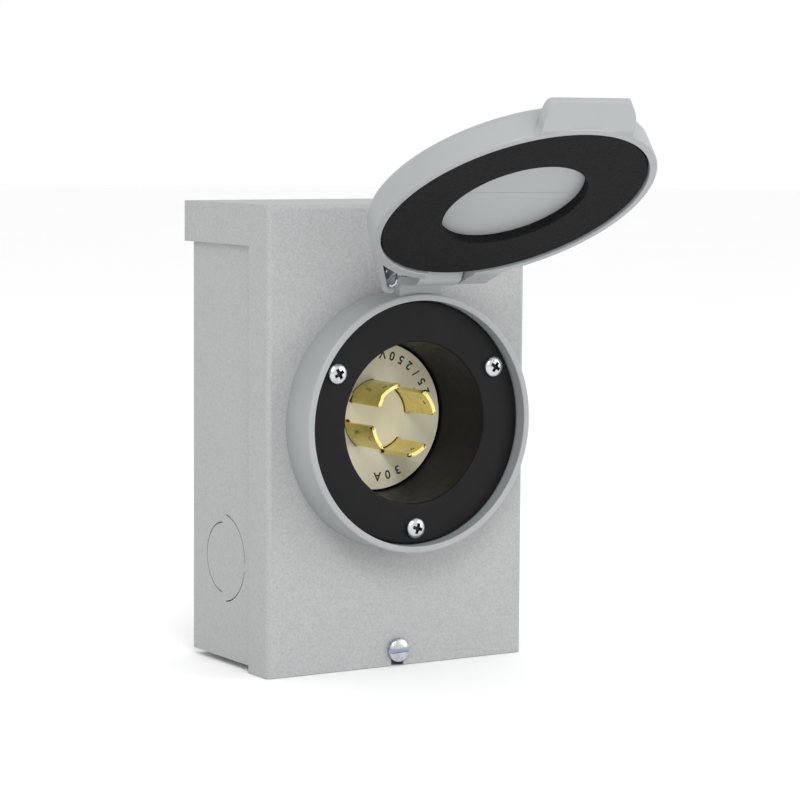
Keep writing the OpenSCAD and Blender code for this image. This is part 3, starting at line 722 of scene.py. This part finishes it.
def blade(name, start, end, hooked):
    """One curved blade: a bent strip with round tip corners, base shoulders and a detent hole."""
    low, high, columns = FACE_Z - 2, BLADE_TIP, 22
    radius = BLADE_R - BLADE_T / 2
    shoulder = math.degrees(0.9 / radius)
    path = [(radius, a) for a in (start + (end - start) * k / columns for k in range(columns + 1))]
    if hooked:
        hook = [(radius - 0.35, end + 2), (radius - 0.8, end + 6), (radius - 0.95, end + 11),
                (radius - 1.1, end + 14), (radius - 1.5, end + 16)]
        path += hook
    rises, falls = (0.1, 1.1, 2.0, 6, 12), (2, 1, 0.4, 0)
    rows = [low, *(FACE_Z + rise for rise in rises), *(high - fall for fall in falls)]
    inset = {high: 1.5, high - 0.4: 0.75, high - 1: 0.28, high - 2: 0.0}
    bm = bmesh.new()
    grid = []
    for depth in rows:
        wide = shoulder if depth in (low, FACE_Z + 0.1, FACE_Z + 1.1) else 0
        narrow = math.degrees(inset.get(depth, 0) / radius)
        line = []
        for k, (r, angle) in enumerate(path):
            if k == 0:
                angle += narrow - wide
            if k == columns and not hooked:
                angle += wide - narrow
            t = math.radians(angle)
            line.append(bm.verts.new((r * math.cos(t), r * math.sin(t), depth)))
        grid.append(line)
    for lower, upper in zip(grid, grid[1:]):
        for k in range(len(path) - 1):
            bm.faces.new((lower[k], lower[k + 1], upper[k + 1], upper[k]))
    strip = new_piece(name + "_strip", bm, AT_INLET)
    thick = strip.modifiers.new("thickness", "SOLIDIFY")
    thick.thickness = BLADE_T * MM
    thick.offset = 0
    apply_modifiers(strip)
    middle = Matrix.Rotation(math.radians((start + end) / 2), 4, "Z")
    hole = AT_INLET @ middle @ Matrix.Translation((0, 0, BLADE_TIP - 4)) @ ALONG_X
    combine(strip, "DIFFERENCE", new_piece("hole", rod(0.9, 8, 20, 24), hole))
    soften(strip, 0.32, 3, 40)
    return strip


def blades():
    for name, (start, end) in BLADES.items():
        strip = blade(name, start, end, name == "blade_ground")
        middle = Matrix.Rotation(math.radians((start + end) / 2), 4, "Z")
        back = FACE_Z - FACE_T - 14
        root = new_piece("root", prism(
            arc_points((0, 0), BLADE_R, start, end, 16)
            + arc_points((0, 0), BLADE_R - BLADE_T, end, start, 16),
            back - 1.6, FACE_Z - 1), AT_INLET)
        foot = slab((BLADE_R - BLADE_T, -5, back - 1.6), (BLADE_R + 7.3, 5, back))
        pad = new_piece("pad", foot, AT_INLET @ middle)
        combine(pad, "DIFFERENCE", new_piece("tapped", rod(1.95, back - 4, back + 4, 32),
                                             AT_INLET @ middle @ Matrix.Translation((17, 0, 0))))
        combine(root, "UNION", pad)
        combine(strip, "UNION", root)
        strip.name = name.replace("blade", "contact")
        place(strip, "cover", "brass", BRASS, name)


def cross_recess():
    """Tapered cross-shaped punch of a Phillips driver, its mouth just above z = 0."""
    floor, mouth = -1.6, 1.0
    bars = []
    for quarter in (0, math.pi / 2):
        bm = slab((-2.75, -0.72, floor), (2.75, 0.72, mouth))
        for vert in bm.verts:
            if vert.co.z < 0:
                vert.co.x *= 0.55
                vert.co.y *= 0.85
        bars.append(new_piece("bar", bm, Matrix.Rotation(quarter, 4, "Z")))
    centre = lathe([(0, floor - 0.3), (0.7, floor), (1.4, mouth), (0, mouth)], 16)
    return combine(bars[0], "UNION", bars[1], new_piece("centre", centre))


def flange_screws():
    """Pan-head screws with cross recesses."""
    head_r, head_h = 4.1, 2.5
    dome = [(head_r * math.sin(math.radians(a)) * 1.0, 0.9 + (head_h - 0.9) * math.cos(math.radians(a)))
            for a in (88, 78, 66, 54, 42, 30, 20, 10)]
    outline = [(0, -21), (2.05, -21), (2.05, 0), (head_r - 0.15, 0), (head_r, 0.15), *dome, (0, head_h)]
    turns = {30: 58, 150: 30, 270: 74}
    screws = []
    for angle in SCREW_ANGLES:
        turn = math.radians(angle)
        across, up = SCREW_CIRCLE_R * math.cos(turn), SCREW_CIRCLE_R * math.sin(turn)
        where = Matrix.Translation((across, up, FLANGE_FACE))
        where = where @ Matrix.Rotation(math.radians(turns[angle]), 4, "Z")
        head = new_piece("head", lathe(outline, 56))
        punch = cross_recess()
        punch.data.transform(Matrix.Translation((0, 0, head_h * MM)))
        combine(head, "DIFFERENCE", punch)
        soften(head, 0.09, 2, 40)
        head.data.transform(Matrix.Scale(MM, 4) @ AT_INLET @ where @ Matrix.Scale(1 / MM, 4))
        screws.append(head)
    return join("flange_screw_set", screws)


def shade_recesses(piece):
    """Paints shade into the driver recesses of the flange screws: their faces, which lie inside each head, get a
    near-black zinc.
    """
    # Second material: the painted shade of the recesses
    piece.data.materials.append(PAINTED_RECESS_SHADE)
    recess_r, recess_floor, wall_height, wall_tilt = 2.6, 0.6, 1.6, 0.6
    to_inlet = AT_INLET.inverted()
    for face in piece.data.polygons:
        centre = to_inlet @ (face.center / MM)
        outward = (to_inlet.to_3x3() @ face.normal).z
        for angle in SCREW_ANGLES:
            turn = math.radians(angle)
            axis = Vector((SCREW_CIRCLE_R * math.cos(turn), SCREW_CIRCLE_R * math.sin(turn)))
            height = centre.z - FLANGE_FACE
            sunk = height > recess_floor and (outward < wall_tilt or height < wall_height)
            if sunk and (centre.xy - axis).length < recess_r:
                face.material_index = 1


def join(name, pieces):
    """One object from several meshes."""
    bm = bmesh.new()
    for piece in pieces:
        bm.from_mesh(piece.data)
        bpy.data.objects.remove(piece)
    mesh = bpy.data.meshes.new(name)
    bm.to_mesh(mesh)
    bm.free()
    joined = bpy.data.objects.new(name, mesh)
    bpy.context.scene.collection.objects.link(joined)
    return joined


def cover_screw():
    """Slotted screw with a low domed head, driven through the notch in the cover."""
    centre = (COVER_SCREW_LOW + COVER_SCREW_HIGH) / 2
    head_r = (COVER_SCREW_HIGH.x - COVER_SCREW_LOW.x) / 2
    head_h = 2.6
    dome = [(head_r * math.sin(math.radians(a)), 1.1 + (head_h - 1.1) * math.cos(math.radians(a)))
            for a in (86, 74, 62, 50, 38, 26, 14)]
    shank = [(0, -11), (2.0, -11), (2.35, -10.4), (2.35, 0)]
    outline = [*shank, (head_r - 0.3, 0), (head_r, 0.3), *dome, (0, head_h)]
    screw = new_piece("slotted_screw", lathe(outline, 64))
    combine(screw, "DIFFERENCE", new_piece("slot", slab((-6, -0.9, head_h - 1.4), (6, 0.9, 6))))
    soften(screw, 0.12, 2, 40)
    seat = Matrix.Translation((centre.x, COVER_SCREW_LOW.y + head_h, centre.z))
    turn = Matrix.Rotation(math.pi / 2, 4, "X") @ Matrix.Rotation(math.radians(3), 4, "Z")
    screw.data.transform(Matrix.Scale(MM, 4) @ seat @ turn @ Matrix.Scale(1 / MM, 4))
    place(screw, "cover_screw", "zinc", ZINC, "cover_screw")
    # The slot's floor and walls get painted shade, a darker blue-grey zinc
    screw.data.materials.append(PAINTED_SLOT_SHADE)
    half_slot, crown, edge = 0.95, 0.25, 0.1
    for face in screw.data.polygons:
        middle = face.center / MM
        depth = middle.y - COVER_SCREW_LOW.y
        across, up = abs(middle.x - centre.x), abs(middle.z - centre.z)
        if up < half_slot and across < head_r - edge and crown < depth < head_h:
            face.material_index = 1


def face_marks():
    """Plain rating and terminal letters on the face, turned as the inlet sits in its collar."""
    inward, outward = 90, -90
    rows = [("125/250V", 47, 26.6, 4.9, 10.4, inward), ("30A", 283, 22.9, 4.9, -11.5, outward)]
    terminals = (("G", 116), ("W", 207), ("X", 28), ("Y", 312))
    rows += [(text, angle, 20.6, 2.9, 0, inward) for text, angle in terminals]
    letters = []
    for text, middle, radius, size, pitch, facing in rows:
        foot = -radius if facing == inward else radius
        for k, letter in enumerate(text):
            angle = middle + (k - (len(text) - 1) / 2) * pitch
            curve = bpy.data.curves.new("letter", "FONT")
            curve.body = letter
            curve.size = size
            curve.extrude = 0.02
            curve.offset = 0.12
            curve.align_x = "CENTER"
            helper = bpy.data.objects.new("letter", curve)
            bpy.context.scene.collection.objects.link(helper)
            depsgraph = bpy.context.evaluated_depsgraph_get()
            mesh = bpy.data.meshes.new_from_object(helper.evaluated_get(depsgraph))
            bpy.data.objects.remove(helper)
            mesh.transform(
                Matrix.Scale(MM, 4) @ AT_INLET
                @ Matrix.Rotation(math.radians(angle + facing), 4, "Z")
                @ Matrix.Translation((0, foot, FACE_Z + 0.021))
            )
            piece = bpy.data.objects.new("letter", mesh)
            bpy.context.scene.collection.objects.link(piece)
            letters.append(piece)
    marks = join("face_marks", letters)
    marks.data.materials.append(INK)
    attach(marks, "cover")


# ---------------------------------------------------------------- stage


def stage_floor():
    """A wide pale floor at the foot of the object."""
    bm = bmesh.new()
    bmesh.ops.create_circle(bm, cap_ends=True, segments=96, radius=9000)
    floor = new_piece("floor", bm, Matrix.Translation((0, 0, CAD_BOX[0].z / MM - 0.2)))
    floor.data.materials.append(pale_floor())


def soft_light(name, place_at, aim, size, power):
    light = bpy.data.lights.new(name, "AREA")
    light.shape = "DISK"
    light.size = size
    light.energy = power
    lamp = bpy.data.objects.new(name, light)
    lamp.location = place_at
    lamp.rotation_euler = (Vector(aim) - Vector(place_at)).to_track_quat("-Z", "Y").to_euler()
    bpy.context.scene.collection.objects.link(lamp)


def studio():
    world = bpy.data.worlds.new("studio")
    bpy.context.scene.world = world
    world.use_nodes = True
    world.node_tree.nodes["Background"].inputs["Color"].default_value = (1, 1, 1, 1)
    world.node_tree.nodes["Background"].inputs["Strength"].default_value = 1.0
    soft_light("key", (-0.72, -1.6, 1.2), (0, 0, 0), 0.9, 16)
    soft_light("fill", (1.4, -1.2, 0.5), (0, 0, 0), 1.0, 6)
    bpy.context.scene.view_settings.view_transform = "Standard"


def camera():
    """The camera, a little above the box and to its left, on a long lens."""
    azimuth, elevation, roll, distance = math.radians(31.78), math.radians(5.51), math.radians(0.38), 1.12
    aim = Vector((-0.0005, -0.0710, 0.0145))
    level = math.cos(elevation)
    look = Vector((math.sin(azimuth) * level, math.cos(azimuth) * level, -math.sin(elevation)))
    lens = bpy.data.cameras.new("camera")
    lens.lens = 127.5
    lens.sensor_width = 36
    view = bpy.data.objects.new("camera", lens)
    view.location = aim - look * distance
    facing = look.to_track_quat("-Z", "Y").to_matrix().to_4x4()
    view.rotation_euler = (facing @ Matrix.Rotation(roll, 4, "Z")).to_euler()
    bpy.context.scene.collection.objects.link(view)
    bpy.context.scene.camera = view


camera()
studio()
stage_floor()
dress_cad_nodes()
flip_lid()
lid_linings()
torsion_spring()
inlet_collar()
inlet_housing()
blades()
shade_recesses(place(flange_screws(), "cover", "zinc", ZINC, "flange_screws"))
cover_screw()
face_marks()
